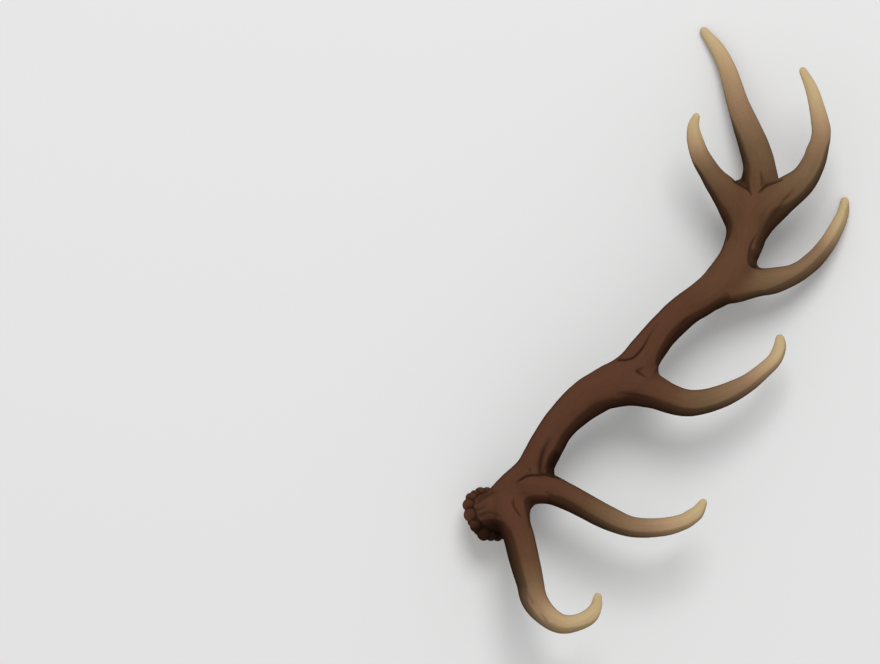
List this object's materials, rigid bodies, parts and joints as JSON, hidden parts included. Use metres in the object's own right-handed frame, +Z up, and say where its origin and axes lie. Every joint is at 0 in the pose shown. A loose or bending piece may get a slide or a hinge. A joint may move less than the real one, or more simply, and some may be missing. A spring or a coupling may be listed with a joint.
{
  "type": "deer antler",
  "caption": "Shed red deer antler lying on a level surface: a knobbed burr, a curved beam, brow, bez, trez and royal tines and a forked crown.",
  "frame": {"origin": "on the surface the antler lies on, under the middle of its bounding box", "axes": "+X to the antler's outer side, where its tines point; +Y from the burr towards the crown, along its length; +Z up from the surface"},
  "size_m": [0.4856, 0.7576, 0.1386],
  "materials": {
    "beam_bone": "dark reddish-brown antler bone, satin, with lengthwise grooves",
    "tine_bone": "brown antler bone that pales to khaki at the rubbed tips",
    "crown_bone": "brown antler bone that pales to khaki at the rubbed tips"
  },
  "bodies": {
    "root": {"beam": "beam_bone", "brow_tine": "tine_bone", "bez_tine": "tine_bone", "trez_tine": "tine_bone", "royal_tine": "tine_bone", "crown_tine_back": "crown_bone", "crown_tine_inner": "crown_bone", "crown_tine_outer": "crown_bone"}
  },
  "joints": []
}
